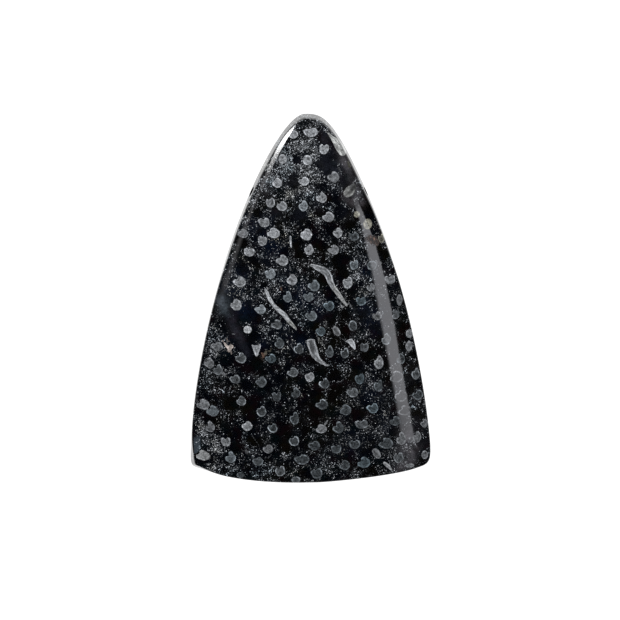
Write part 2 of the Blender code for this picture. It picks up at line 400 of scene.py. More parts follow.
# Each bundle is its place, width, height and the heading of its notch, 0 where it has none.
BUNDLES = {
    "white": (
        (247.5, 329.7, 8.0, 8.0, 0),
    ),
    "pale": (
        (310.8, 132.5, 14.5, 9.0, 105), (293.0, 134.3, 10.0, 8.5, 0), (324.0, 149.0, 10.0, 10.5, 85),
        (282.5, 159.0, 9.0, 10.5, 0), (307.3, 160.0, 9.5, 10.0, 0), (304.2, 181.3, 10.0, 8.5, 130),
        (277.3, 183.0, 9.5, 10.0, 140), (273.7, 233.0, 12.5, 10.0, 150), (306.5, 234.7, 11.5, 12.0, 130),
    ),
    "light": (
        (378.8, 363.0, 10.0, 14.0, 130), (321.8, 198.0, 10.0, 10.0, 140), (270.7, 202.8, 9.5, 10.0, 110),
        (282.2, 206.3, 10.0, 9.5, 130), (328.5, 217.0, 11.5, 10.0, 140), (264.2, 222.3, 11.0, 9.5, 100),
        (338.0, 233.0, 9.5, 10.0, 130), (262.5, 241.0, 9.5, 10.0, 80), (309.0, 250.0, 9.5, 11.0, 120),
        (249.2, 252.0, 11.0, 9.0, 90), (282.5, 260.5, 11.5, 11.0, 135), (292.2, 279.8, 10.5, 11.0, 140),
        (240.0, 282.0, 12.0, 10.5, 130), (347.8, 282.8, 10.5, 12.0, 110), (236.3, 305.0, 11.0, 11.5, 140),
        (309.8, 377.0, 9.5, 10.0, 110), (247.3, 426.3, 10.5, 10.0, 130),
    ),
    "grey": (
        (334.0, 250.0, 10.5, 9.5, 130), (390.2, 279.5, 11.0, 9.0, 100), (371.0, 287.5, 8.0, 8.0, 120),
        (409.5, 333.5, 8.0, 9.5, 0), (408.8, 346.3, 7.5, 11.0, 0),
        (333.8, 177.0, 11.5, 11.0, 135), (321.5, 429.0, 11.0, 9.0, 155), (226.0, 441.7, 10.0, 10.0, 100),
        (410.0, 465.5, 9.0, 4.5, 0), (203.5, 404.5, 13.0, 10.5, 150), (243.0, 233.3, 10.5, 9.0, 140),
    ),
    "soft": (
        (399.5, 300.0, 6.5, 12.0, 0), (377.3, 316.0, 9.5, 9.0, 120), (217.5, 346.5, 11.5, 9.0, 115),
        (209.3, 363.3, 10.0, 10.5, 140), (424.5, 423.5, 8.0, 8.5, 130), (210.3, 427.0, 9.5, 11.0, 150),
        (417.0, 437.3, 9.5, 11.0, 130), (268.3, 449.0, 10.0, 9.5, 130),
        (424.8, 454.8, 7.5, 9.0, 0), (401.5, 439.0, 10.5, 13.0, 140),
    ),
    "mid": (
        (395.7, 314.5, 8.5, 10.0, 170), (277.0, 324.5, 10.5, 9.5, 140), (386.5, 339.5, 10.0, 11.5, 140),
        (364.3, 347.3, 9.0, 9.5, 90), (241.0, 358.3, 10.5, 11.0, 135),
        (218.3, 370.5, 9.5, 11.0, 130), (293.0, 372.3, 11.0, 9.5, 140),
        (415.8, 374.3, 8.5, 11.5, 120), (235.2, 379.2, 10.5, 9.0, 120), (353.0, 392.5, 11.5, 10.0, 120),
        (241.4, 401.0, 9.5, 10.0, 150), (361.8, 424.2, 13.5, 9.5, 100), (280.5, 471.5, 10.5, 11.5, 115),
        (398.5, 457.8, 10.5, 11.5, 110), (296.0, 480.0, 9.0, 8.0, 0),
    ),
    "dusk": (
        (354.0, 236.5, 10.0, 8.5, 110), (372.0, 265.5, 10.5, 9.5, 0), (279.5, 343.5, 10.0, 11.5, 145),
        (329.5, 352.0, 9.0, 12.0, 130), (261.5, 382.0, 10.5, 11.0, 130),
        (378.4, 386.0, 9.5, 12.5, 110), (345.7, 410.0, 11.0, 11.0, 150),
        (258.0, 461.6, 10.5, 10.0, 115),
    ),
    "deep": (
        (296.0, 393.3, 9.5, 11.0, 150), (418.0, 395.0, 11.0, 10.0, 130),
        (276.7, 396.5, 9.5, 10.5, 95),
        (294.5, 419.0, 9.5, 13.0, 125), (395.5, 421.0, 11.0, 9.5, 140), (338.6, 427.8, 11.0, 12.0, 140),
        (354.7, 444.3, 11.5, 10.0, 95), (314.5, 445.7, 11.5, 10.5, 120), (336.3, 449.2, 10.5, 9.5, 95),
        (302.3, 459.5, 15.0, 11.0, 120), (345.0, 465.5, 10.5, 11.0, 150), (317.0, 473.5, 11.5, 11.5, 110),
        (386.4, 443.5, 14.0, 11.5, 140), (401.0, 359.0, 9.0, 11.0, 150), (240.5, 475.0, 8.0, 6.5, 0),
    ),
    "faint": (
        (397.0, 376.8, 13.0, 11.5, 150), (401.3, 396.0, 12.5, 12.0, 130), (405.0, 410.5, 13.0, 10.5, 150),
    ),
    "hollow": (
        (298.8, 349.0, 10.0, 11.0, 130), (324.5, 383.5, 10.0, 10.5, 130), (322.5, 404.3, 12.0, 10.5, 140),
        (261.5, 411.5, 10.0, 11.0, 120), (272.7, 428.2, 9.5, 9.5, 115), (294.3, 441.3, 10.5, 10.5, 115),
        (352.8, 325.7, 9.0, 11.5, 0), (344.8, 353.5, 9.0, 10.5, 120),
    ),
    "blue light": (
        (303.5, 206.0, 9.5, 10.5, 130), (270.3, 273.8, 10.5, 10.5, 110), (260.6, 309.5, 10.5, 9.5, 125),
    ),
    "blue mid": (
        (354.2, 265.0, 9.0, 10.5, 100), (314.2, 285.8, 11.0, 11.0, 130), (308.8, 297.2, 10.5, 9.5, 110),
        (287.5, 297.3, 9.0, 11.0, 130), (311.5, 316.0, 11.0, 10.0, 120), (213.0, 411.0, 11.5, 11.0, 145),
        (230.8, 457.8, 10.5, 12.0, 140),
    ),
    "blue dusk": (
        (361.2, 301.0, 10.5, 9.0, 95), (329.2, 306.0, 10.5, 10.0, 120), (321.0, 331.3, 9.5, 9.5, 120),
        (271.2, 358.5, 10.5, 9.0, 130), (373.0, 408.3, 11.5, 10.0, 115),
    ),
    "blue deep": (
        (359.8, 379.0, 10.0, 11.5, 110), (364.2, 462.7, 12.5, 12.0, 150),
    ),
    "warm": (
        (381.5, 238.5, 7.0, 9.0, 120),
    ),
    "bone": (
        (203.3, 455.8, 13.5, 10.5, 150),
    ),
    "cream": (
        (357.2, 214.4, 6.5, 6.5, 0), (367.6, 224.0, 9.5, 11.0, 0),
    ),
}

# Roots and cracks that were cut lengthwise, and a painted reflection: the pale patch inside the tip's
# right edge. Each has the display greys of its middle and its edges, its tint, and a path of places
# with the width there.
STREAKS = (
    (160, 160, 0.1, ((264.9, 288.8, 1.8), (267.0, 293.0, 3.0), (269.6, 299.0, 3.6), (273.2, 304.6, 3.4),
                     (279.0, 310.4, 4.0), (284.6, 315.0, 4.4), (288.4, 320.6, 3.8))),
    (140, 140, 0.4, ((288.4, 320.6, 3.6), (292.0, 324.6, 3.4), (295.0, 327.8, 2.4), (297.2, 330.4, 0.8))),
    (112, 156, 0.1, ((309.4, 264.8, 0.8), (313.2, 266.0, 3.2), (318.0, 267.8, 5.2), (322.6, 269.9, 6.6),
                     (326.8, 272.9, 6.8), (329.0, 277.2, 6.2), (330.5, 282.0, 5.4), (333.3, 287.2, 4.6))),
    (134, 146, 0.3, ((333.3, 287.2, 4.6), (337.8, 293.2, 4.2), (342.8, 300.2, 3.4), (346.0, 304.8, 2.6),
                     (347.8, 307.4, 1.0))),
    (95, 95, 0.1, ((348.6, 302.6, 1.5), (350.6, 305.4, 1.8), (352.6, 308.2, 1.2))),
    (84, 134, 0.0, ((311.6, 344.4, 8.4), (313.0, 348.6, 8.3), (313.6, 350.4, 8.1))),
    (108, 138, 0.0, ((313.6, 350.4, 8.1), (314.4, 353.0, 7.6))),
    (132, 144, 0.0, ((314.4, 353.0, 7.6), (315.2, 355.0, 6.9), (317.4, 358.6, 5.2))),
    (120, 134, 0.1, ((306.8, 341.6, 2.6), (310.4, 340.8, 3.6), (314.0, 341.4, 3.0))),
    (122, 142, 0.1, ((317.0, 358.4, 4.8), (321.4, 362.2, 3.7), (326.0, 364.7, 2.4), (330.2, 366.4, 0.8))),
    (90, 122, 0.1, ((335.0, 328.8, 5.2), (336.6, 331.2, 6.8), (338.2, 333.6, 5.0))),
    (165, 165, 0.0, ((252.4, 344.9, 1.8), (256.1, 355.5, 1.6), (256.6, 357.0, 0.8))),
    (165, 165, 0.0, ((260.0, 344.7, 2.4), (257.2, 355.0, 1.8))),
    (140, 140, 0.0, ((256.2, 347.6, 5.0), (256.5, 353.0, 2.6))),
    (160, 168, 0.0, ((344.2, 342.6, 0.9), (347.8, 341.5, 2.8), (350.9, 340.9, 4.4), (352.3, 343.8, 5.4),
                     (354.1, 347.2, 3.2), (355.6, 350.0, 0.9))),
    (140, 140, 0.2, ((384.5, 463.0, 3.0), (388.0, 466.0, 4.0), (391.0, 469.3, 2.0))),
    (165, 165, 0.0, ((290.4, 236.0, 1.7), (290.6, 242.0, 1.9), (291.2, 247.5, 1.5))),
    (95, 95, 0.3, ((262.8, 206.5, 1.2), (260.8, 210.0, 1.0))),
    (85, 85, 0.0, ((247.5, 264.5, 1.0), (250.0, 267.0, 1.0))),
    (80, 80, -0.2, ((316.0, 334.0, 1.0), (318.5, 337.8, 1.0))),
    (120, 120, 0.0, ((231.0, 334.8, 1.4), (234.5, 334.0, 1.2))),
    (172, 172, 3.0, ((222.0, 340.0, 1.0), (225.0, 343.6, 1.8), (226.6, 346.6, 2.4), (229.5, 347.8, 4.4))),
    (178, 178, 3.0, ((228.0, 345.4, 1.4), (232.0, 346.6, 3.4), (233.0, 345.8, 1.4))),
    (140, 140, 3.0, ((229.8, 349.6, 3.0), (228.4, 351.6, 2.0))),
    (110, 110, 3.0, ((226.8, 338.6, 1.0), (228.0, 341.8, 1.4))),
    (105, 105, 3.0, ((229.2, 341.4, 1.2), (230.6, 343.4, 1.2))),
    (105, 105, 3.0, ((231.0, 351.8, 1.6), (231.6, 353.6, 1.8))),
    (74, 74, 1.9, ((261.4, 354.2, 1.8), (262.6, 353.4, 2.0))),
    (100, 100, 1.6, ((263.0, 355.8, 1.8), (263.8, 356.8, 1.8))),
    (110, 110, 1.2, ((264.8, 352.6, 2.2), (266.0, 353.6, 2.0))),
    (78, 78, 1.7, ((264.6, 355.4, 1.6), (265.6, 355.0, 1.6))),
    (84, 84, 1.2, ((264.4, 349.8, 1.6), (266.0, 350.8, 1.6))),
    (88, 88, 1.1, ((268.4, 350.8, 1.8), (270.2, 351.2, 1.6))),
    (56, 56, 1.2, ((270.8, 348.6, 1.6), (271.8, 350.0, 1.4))),
    (44, 44, 2.0, ((260.8, 357.4, 2.4), (262.6, 359.6, 2.6))),
    (80, 80, 2.0, ((280.6, 286.6, 1.2), (281.4, 290.6, 1.6))),
    (85, 85, 0.9, ((347.8, 162.0, 1.6), (349.6, 166.8, 2.6))),
    (38, 38, 2.0, ((368.8, 238.4, 6.6), (372.6, 240.2, 8.4), (376.4, 242.4, 5.6))),
    (78, 78, 2.0, ((367.8, 238.2, 2.0), (368.6, 240.8, 2.4))),
    (96, 96, 1.9, ((370.6, 236.8, 2.0), (371.2, 239.0, 2.6))),
    (88, 88, 2.0, ((370.8, 242.0, 2.2), (372.8, 243.4, 2.6))),
    (102, 102, 1.9, ((373.6, 238.0, 2.2), (374.8, 240.6, 2.2))),
    (80, 80, 2.0, ((375.0, 243.2, 2.4), (376.8, 244.6, 1.8))),
    (66, 66, 2.0, ((376.8, 239.8, 1.8), (378.6, 241.8, 1.8))),
    # Painted reflection: the pale patch inside the tip's right edge, where a light glints on the shoulder.
    (166, 166, 0.4, ((327.8, 133.0, 0.9), (331.8, 137.2, 3.2), (336.8, 142.8, 7.2), (340.8, 148.4, 9.0),
                     (342.6, 151.6, 8.0))),
    (104, 114, 0.4, ((347.4, 193.0, 8.2), (349.4, 191.4, 9.6), (351.0, 189.6, 8.4))),
    (72, 80, 0.3, ((351.0, 189.4, 8.0), (353.2, 187.0, 6.4))),
    (92, 108, 0.1, ((375.0, 451.0, 5.8), (376.6, 453.4, 7.4), (378.2, 456.0, 5.6))),
    (200, 200, 0.0, ((296.4, 317.0, 1.2), (296.5, 318.4, 1.2))),
    (185, 185, 0.0, ((275.0, 296.0, 1.2), (275.2, 297.2, 1.2))),
    (190, 190, 0.0, ((331.4, 194.0, 1.6), (332.2, 194.4, 1.6))),
    (110, 110, 0.0, ((223.2, 374.0, 3.4), (224.2, 374.6, 3.4))),
    (85, 85, 0.0, ((246.0, 451.0, 3.0), (247.0, 452.5, 3.0))),
    (95, 95, 0.0, ((289.5, 266.0, 1.4), (290.5, 270.0, 2.0))),
    (80, 80, 0.0, ((293.0, 264.5, 1.0), (295.0, 268.0, 1.0))),
    (130, 130, 0.1, ((324.5, 425.5, 1.6), (327.5, 420.5, 1.4))),
    (105, 105, 0.1, ((323.8, 423.5, 1.0), (323.0, 420.5, 0.9))),
    (62, 62, -0.2, ((252.0, 435.5, 1.0), (259.0, 445.0, 0.8))),
    (85, 85, 0.0, ((381.5, 372.5, 1.2), (382.5, 378.0, 1.2))),
)

# Where the speckled ground between the bundles is clear, with the reach of each clear patch.
CLEAR_PATCHES = (
    (329, 163, 11), (338, 152, 7), (325, 138, 6), (345, 181, 6), (293, 182, 6), (297, 160, 4),
    (300, 215, 6), (277, 212, 5), (258, 213, 4), (318, 212, 4), (333, 225, 6),
    (320, 245, 6), (297, 243, 6), (299, 254, 5), (283, 253, 5), (243, 244, 5), (253, 261, 5),
    (262, 231, 5), (243, 269, 6), (340, 260, 9), (341, 275, 7), (322, 280, 5), (329, 294, 6),
    (283, 304, 6), (264, 285, 3), (247, 314, 8), (257, 319, 5), (237, 314, 6), (315, 325, 5),
    (331, 318, 5), (345, 331, 5), (300, 337, 6), (255, 335, 5), (250, 346, 6), (252, 362, 8),
    (262, 372, 4), (247, 386, 6), (232, 403, 7), (247, 406, 5), (208, 418, 6), (236, 437, 6),
    (235, 447, 6), (268, 385, 5), (281, 379, 5), (270, 403, 4), (256, 440, 5), (277, 438, 5),
    (286, 430, 7), (322, 372, 6), (336, 376, 5), (336, 391, 6), (315, 396, 5), (331, 398, 4),
    (313, 413, 4), (306, 430, 4), (287, 450, 4), (304, 473, 6), (357, 415, 6),
    (357, 366, 5), (367, 355, 6), (389, 359, 4), (361, 314, 5), (378, 330, 6), (345, 314, 4),
    (402, 327, 5), (405, 337, 4), (392, 432, 4), (417, 415, 5), (422, 445, 4), (376, 250, 5),
    (384, 255, 4), (350, 225, 5), (346, 213, 5), (356, 218, 4), (347, 165, 7), (351, 174, 7), (366, 193, 5),
    (369, 201, 5), (350, 201, 5), (364, 208, 6), (370, 214, 6), (336, 144, 6), (342, 156, 5),
)
# The specks thin out from the tip to the base: shares of the way to the tip, and the levels there.
SPECKLE_LEVELS = ((0.0, 0.12, 0.45, 0.75, 1.0), (0.42, 0.37, 0.41, 0.55, 0.66))
CLEAR_VEIN = ((222, 296, 6), (226, 306, 7), (230, 318, 6), (236, 332, 7), (243, 345, 6), (248, 358, 5))
DENSE_PATCHES = (
    (300, 146, 7), (311, 142, 4), (285, 170, 10), (306, 172, 8), (316, 158, 7), (309, 192, 4),
    (291, 194, 6), (330, 206, 6), (318, 222, 5), (355, 275, 6), (321, 300, 5), (217, 446, 6),
    (219, 450, 5), (204, 431, 6), (245, 296, 7), (262, 295, 6),
    (265, 328, 7), (320, 210, 4), (287, 231, 4), (272, 284, 6), (285, 456, 5), (330, 258, 4),
    (213, 350, 9), (208, 372, 8), (203, 425, 8), (205, 440, 7), (215, 468, 8), (232, 470, 5),
    (268, 468, 7), (370, 380, 7), (380, 430, 9), (328, 466, 7), (252, 200, 5), (268, 212, 4),
    (268, 165, 6), (270, 180, 6), (210, 330, 6), (405, 452, 7), (402, 462, 6), (412, 445, 5),
    (414, 404, 7), (341, 397, 4),
)
THIN_PATCHES = (
    (335, 200, 9), (340, 215, 9), (334, 228, 8), (305, 228, 7), (318, 228, 8), (325, 212, 6), (318, 406, 7),
    (318, 418, 7), (317, 392, 5), (253, 404, 7), (253, 420, 7), (368, 452, 7),
    (352, 293, 6), (348, 456, 6), (323, 186, 5), (374, 254, 6), (380, 278, 5), (386, 304, 5),
    (389, 318, 6), (391, 332, 6), (393, 346, 6), (395, 360, 6), (398, 374, 6), (403, 402, 6), (405, 416, 6),
)

# Where the specks are fainter and lie closer, with the reach of each dull patch. These places follow a
# comparison of the photo's greys with a render's.
DULL_PATCHES = (
    (385, 443, 19), (326, 446, 16), (355, 442, 15), (355, 414, 15), (357, 386, 13), (265, 414, 14),
    (265, 386, 9), (355, 329, 12), (357, 352, 10), (325, 415, 10), (264, 440, 10), (385, 400, 13),
    (407, 456, 13),
)

# Clouded silica in the ground: its colours, and each cloud's place, reach and strength. The pale grey
# clouds of the last colour are painted reflection: they paint the glints of the lights along the band
# on the right shoulder, past its ends, and inside the edges at the tip and on the left.
HAZE_AND_SHEEN_COLOURS = {
    "slate": (0.034, 0.042, 0.050),
    "plum": (0.0086, 0.0088, 0.0124),
    "night": (0.0050, 0.0055, 0.0074),
    "indigo": (0.0014, 0.0032, 0.0080),
    # The pale grey of the painted reflection.
    "smoke_and_sheen": (0.038, 0.036, 0.040),
}
HAZES_AND_SHEEN = {
    "slate": (
        (223, 297, 5, 0.55), (222, 303, 5, 0.6), (226, 308, 4, 0.55), (221, 311, 4, 0.3), (227, 301, 3, 0.3),
        (229, 314, 3, 0.3), (218, 299, 3, 0.3),
    ),
    "plum": (
        (230, 317, 5, 0.6), (232, 323, 5, 0.6), (235, 329, 5, 0.7), (238, 335, 5, 0.6), (241, 341, 5, 0.5),
        (244, 348, 4, 0.6), (247, 354, 4, 0.4),
    ),
    "night": (
        (329, 163, 13, 0.9), (325, 138, 9, 1.0), (334, 174, 9, 0.8), (293, 182, 8, 0.9), (300, 215, 6, 0.7),
        (277, 212, 5, 0.5), (313, 150, 9, 0.3), (312, 192, 8, 0.5), (300, 160, 8, 0.5), (340, 188, 8, 0.6),
        (345, 215, 7, 0.4), (296, 200, 7, 0.4), (318, 205, 7, 0.4), (355, 190, 8, 0.6),
    ),
    "indigo": (
        (240, 280, 13, 0.6), (230, 292, 9, 0.5), (243, 310, 12, 0.6), (272, 250, 12, 0.4),
        (304, 295, 14, 0.6), (318, 312, 10, 0.5), (285, 332, 8, 0.5), (252, 226, 10, 0.5),
        (268, 220, 8, 0.5), (365, 270, 12, 0.5),
        (366, 308, 12, 0.5), (374, 326, 10, 0.6), (286, 276, 8, 0.4), (300, 345, 8, 0.5), (224, 345, 8, 0.4),
        (262, 345, 6, 0.4), (370, 392, 12, 0.4), (350, 445, 14, 0.3), (385, 425, 9, 0.4), (265, 240, 8, 0.4),
    ),
    # Painted reflection: pale glints along the band on the right shoulder and past its ends, and inside the
    # edges at the tip and on the left.
    "smoke_and_sheen": (
        (343, 158, 4, 0.5), (345, 163, 4, 0.8), (348, 169, 5, 0.6), (351, 176, 5, 0.3), (355, 184, 4, 0.6),
        (358, 192, 4, 0.8), (344, 195, 3, 0.4), (347, 200, 4, 0.5), (353, 202, 4, 0.7), (361, 203, 4, 0.5),
        (358, 198, 4, 0.5), (333, 136, 4, 0.4), (340, 152, 4, 0.5), (262, 181, 5, 0.3), (270, 178, 6, 0.3),
        (266, 190, 5, 0.3), (406, 430, 7, 0.5), (406, 441, 7, 0.85), (406, 450, 7, 0.85), (407, 459, 7, 0.6),
        (402, 466, 6, 0.6), (413, 452, 5, 0.6), (411, 464, 5, 0.5), (396, 470, 4, 0.5),
        (410, 375, 9, 0.07), (415, 400, 9, 0.08), (419, 424, 8, 0.1), (421, 446, 8, 0.12),
        (381, 275, 9, 0.06),
    ),
}

# How much the patches change the density of the specks, and how a patch ends: softly or crisply.
DULL_GAIN = 0.10
DENSE_GAIN = 0.40
THIN_LOSS = -0.35
SOFT_END = 2
CRISP_END = 4
# Places are matched with bundles this many at a time, which spares memory.
BATCH = 20000


def grain_table():
    """Return a row for each bundle: place, half sizes, notch heading and depth, tone and peak."""
    rows = []
    for tone, bundles in BUNDLES.items():
        for x, y, width, height, heading in bundles:
            wave = abs(math.sin(x * NOTCH_WAVE[0] + y * NOTCH_WAVE[1]))
            notch = NOTCH_LEAST + NOTCH_SPREAD * wave if heading else 0.0
            notch *= SHALLOW_NOTCHES.get(tone, 1.0)
            peak = min(max((height / width - 1.0) * PEAK_RATE, 0.0), 1.0)
            turn = math.radians(heading or NOTCH_HEADING)
            half_sizes = (width * PIXEL / 2.0, height * PIXEL / 2.0)
            rows.append((*plan(x, y), *half_sizes, turn, notch, *TONES[tone], peak))
    return np.array(rows)


def depth_below_face(places):
    """Return how far places lie below the polished face."""
    return np.clip(WALL_TOP + dome_rise(places[:, 0], places[:, 1]) - places[:, 2], 0.0, None)


def nearest_bundles(places, table):
    """Return for each place the row of the bundle that it is deepest in, or nearest to."""
    rows = np.empty(len(places), int)
    for start in range(0, len(places), BATCH):
        offset = places[start:start + BATCH, None, :] - table[None, :, :2]
        rows[start:start + BATCH] = ((offset / table[None, :, 2:4]) ** 2).sum(axis=2).argmin(axis=1)
    return rows


def path_measures(places, path):
    """Return how far places are from a path in half widths, and in millimetres across and along it."""
    measures = np.zeros((len(places), 3))
    measures[:, 0] = FAR_OFF
    run = 0.0
    points = [(*plan(x, y), width * PIXEL / 2.0) for x, y, width in path]
    for (x0, y0, r0), (x1, y1, r1) in zip(points, points[1:]):
        way = np.array([x1 - x0, y1 - y0])
        length = np.linalg.norm(way)
        offset = places - (x0, y0)
        share = np.clip((offset @ way) / length ** 2, 0.0, 1.0)
        gap = np.linalg.norm(offset - share[:, None] * way, axis=1)
        across = (offset[:, 0] * way[1] - offset[:, 1] * way[0]) / length
        found = np.stack([gap / (r0 + (r1 - r0) * share), across / MM, (run + share * length) / MM], 1)
        closer = found[:, 0] < measures[:, 0]
        measures[closer] = found[closer]
        run += length
    return measures


def inside_patch(places, x, y, reach, ending):
    """Return how far in a round patch places are, from 1 in its middle to 0 well outside its reach."""
    gap = np.linalg.norm(places - plan(x, y), axis=1)
    return np.exp(-(gap / (reach * PIXEL)) ** ending)


def ground_dullness(places):
    """Return how faint the specks are at each place, from 0 to 1."""
    dullness = np.zeros(len(places))
    for patch in DULL_PATCHES:
        dullness = np.maximum(dullness, inside_patch(places, *patch, CRISP_END))
    return dullness


def ground_density(places):
    """Return how thick the specks lie at each place, from 0 in a clear patch to over 1."""
    towards_tip = (places[:, 1] - base_y) / (tip_y - base_y)
    density = np.interp(towards_tip, *SPECKLE_LEVELS) + DULL_GAIN * ground_dullness(places)
    for patches, change in ((DENSE_PATCHES, DENSE_GAIN), (THIN_PATCHES, THIN_LOSS)):
        for patch in patches:
            density += change * inside_patch(places, *patch, SOFT_END)
    for patch in CLEAR_PATCHES:
        density *= 1.0 - inside_patch(places, *patch, CRISP_END)
    vein = path_measures(places, [(x, y, 2.0 * reach) for x, y, reach in CLEAR_VEIN])[:, 0]
    return density * (1.0 - np.exp(-vein ** CRISP_END))


def ground_haze_and_sheen(places):
    """Return the colour that the clouds add to the ground at each place, the painted reflection among them.
    """
    haze_and_sheen = np.zeros((len(places), 3))
    for colour, clouds in HAZES_AND_SHEEN.items():
        for x, y, reach, strength in clouds:
            thickness = strength * inside_patch(places, x, y, reach, SOFT_END)
            haze_and_sheen += thickness[:, None] * np.array(HAZE_AND_SHEEN_COLOURS[colour])
    return haze_and_sheen


def store(mesh, name, kind, domain, field, values):
    """Keep values on the mesh under a name."""
    attribute = mesh.attributes.new(name, kind, domain)
    attribute.data.foreach_set(field, np.ascontiguousarray(values, np.float32).ravel())


def lay_grain(mesh):
    """Write the bundles, the streaks and the density of the specks onto the stone's mesh.

    A place below the face takes what the face shows where the leaning grain reaches it. The streaks
    lie flat in the stone and end at a small depth.
    """
    places = np.empty(len(mesh.vertices) * 3, np.float32)
    mesh.vertices.foreach_get("co", places)
    places = places.reshape(-1, 3).astype(float)
    depth = depth_below_face(places)
    places = places[:, :2] + depth[:, None] * np.array(GRAIN_LEAN)
    corners = np.empty(len(mesh.loops), np.int32)
    mesh.loops.foreach_get("vertex_index", corners)
    triangles = corners.reshape(-1, 3)
    table = grain_table()
    rows = np.repeat(nearest_bundles(places[triangles].mean(axis=1), table), 3)
    offset = places[corners] - table[rows, :2]
    offset /= table[rows, 2:4]
    turn = table[rows, 4]
    across = offset[:, 0] * np.cos(turn) + offset[:, 1] * np.sin(turn)
    aside = offset[:, 1] * np.cos(turn) - offset[:, 0] * np.sin(turn)
    store(mesh, "bundle", "FLOAT_VECTOR", "CORNER", "vector", np.stack([across, aside, table[rows, 5]], 1))
    tones = table[rows, 6:9] / (DISPLAY_WHITE, DISPLAY_WHITE, 1.0)
    store(mesh, "bundle_tone", "FLOAT_VECTOR", "CORNER", "vector", tones)
    store(mesh, "bundle_peak", "FLOAT", "CORNER", "value", table[rows, 9])
    streak = np.full((len(places), 3), FAR_OFF)
    streak_tone = np.zeros((len(places), 3))
    # Among the streaks is the painted reflection inside the tip's right edge.
    for grey, edge_grey, tint, path in STREAKS:
        measures = path_measures(places, path)
        closer = measures[:, 0] < streak[:, 0]
        streak[closer] = measures[closer]
        streak_tone[closer] = (grey / DISPLAY_WHITE, edge_grey / DISPLAY_WHITE, tint)
    streak[:, 0] += np.clip(depth - STREAK_DEPTH, 0.0, None) / STREAK_EASING
    store(mesh, "streak", "FLOAT_VECTOR", "POINT", "vector", streak)
    store(mesh, "streak_tone", "FLOAT_VECTOR", "POINT", "vector", streak_tone)
    store(mesh, "speckle", "FLOAT", "POINT", "value", ground_density(places))
    store(mesh, "dullness", "FLOAT", "POINT", "value", ground_dullness(places))
    # The clouds' colour, with the painted reflection of the lights among it.
    store(mesh, "haze_and_sheen", "FLOAT_VECTOR", "POINT", "vector", ground_haze_and_sheen(places))


lay_grain(stone.data)

# The stone's material
# Dark silica that took a mirror polish on the dome and was left satin on the sawn back. The bundles,
# streaks and specks are paler silica in the same polished surface, and the iron specks are pitted. The
# pale patch inside the tip's right edge and the pale grey clouds on the shoulders are painted reflection.

STUDIO_GAIN = 1.35
DISPLAY_GAMMA = 2.2
GROUND_BLACK = (0.0007, 0.0009, 0.0018, 1.0)
GROUND_BROWN = (0.0014, 0.0012, 0.0010, 1.0)
GROUND_HAZE = (0.0052, 0.0062, 0.0080, 1.0)
# Stains of iron and copper in the ground.
STAIN_COLOURS = {
    "red stain": (0.0036, 0.0010, 0.0015, 1.0),
    "green stain": (0.0005, 0.0022, 0.0024, 1.0),
    "olive stain": (0.0026, 0.0022, 0.0007, 1.0),
}
STAIN_STRENGTH = 0.45
STAIN_RANGE = (0.52, 0.66)
BROWN_RANGE = (0.45, 0.62)
# How the clouds and the painted reflection among them are mottled.
SMOKE_AND_SHEEN_RANGE = (0.25, 0.7)
SMOKE_AND_SHEEN_LEAST = 0.45
SMOKE_AND_SHEEN_SPREAD = 1.1
SMOKE_AND_SHEEN_GRAIN = 1.6
BLUE_TINT = (0.78, 1.00, 1.15, 1.0)
CREAM_TINT = (1.02, 1.00, 0.84, 1.0)
PLAIN_TINT = (0.95, 1.00, 1.07, 1.0)
RUST_TINT = (1.55, 0.90, 0.66, 1.0)
PINK_TINT = (1.12, 0.99, 0.92, 1.0)
STONE_IOR = 1.54

# The noises in the grain: where each starts, its cycles a millimetre, its detail and its roughness.
# The stretch is how fine they are along the fibres, as a share of how fine they are across them.
GRAIN_NOISES = {
    "fine": ((0.0, 0.0, 0.0), 3.2, 2.0, 0.6),
    "finer": ((31.0, 7.0, 5.0), 10.5, 1.0, 0.5),
    "patchy": ((3.0, 11.0, 2.0), 0.8, 3.0, 0.65),
    "veil": ((2.0, 9.0, 4.0), 4.0, 1.0, 0.5),
    "brown": ((0.0, 0.0, 0.0), 0.25, 2.0, 0.5),
    "red stain": ((1.0, 14.0, 3.0), 0.6, 2.0, 0.5),
    "green stain": ((17.0, 2.0, 8.0), 0.6, 2.0, 0.5),
    "olive stain": ((9.0, 21.0, 4.0), 0.6, 2.0, 0.5),
    # This noise mottles the clouds and the painted reflection among them.
    "smoke_and_sheen": ((6.0, 1.0, 9.0), 0.9, 3.0, 0.5),
    "speck tint": ((5.0, 5.0, 5.0), 0.35, 2.0, 0.5),
    "ragged": ((0.0, 0.0, 0.0), 1.5, 2.0, 0.5),
    "rim": ((0.0, 0.0, 0.0), 1.4, 2.0, 0.5),
    "vessels": ((8.0, 4.0, 1.0), 1.9, 1.0, 0.5),
}
FIBRE_STRETCH = 0.3

# The specks are cells of the grain, most of them dark and a few light. They lie in patches and, within
# a patch, in blotches.
PATCHINESS = 1.5
FULL_DENSITY = 1.2
VEIL_DENSITY = 0.6
BLOTCH_RANGE = (0.53, 0.62)
BLOTCH_PUSH = 0.12
CHANCE_LEAST = 0.26
CHANCE_SPREAD = 0.72
SPECK_SOFTNESS = 0.10
SPECK_TINT_SPREAD = 3.0
SPECK_SCALE = 11.0
SPECK_DARKEST = 0.16
SPECK_SPREAD = 0.74
SPECK_POWER = 2.2
DULLING = 0.32
# From where to where the specks come back beside a bundle and a streak, in shares of its size, and
# how many of them are left at its edge.
BUNDLE_CLEARING = (1.02, 1.42)
BUNDLE_CLEARING_LEFT = 0.25
STREAK_CLEARING = (1.0, 1.7)
STREAK_CLEARING_LEFT = 0.3

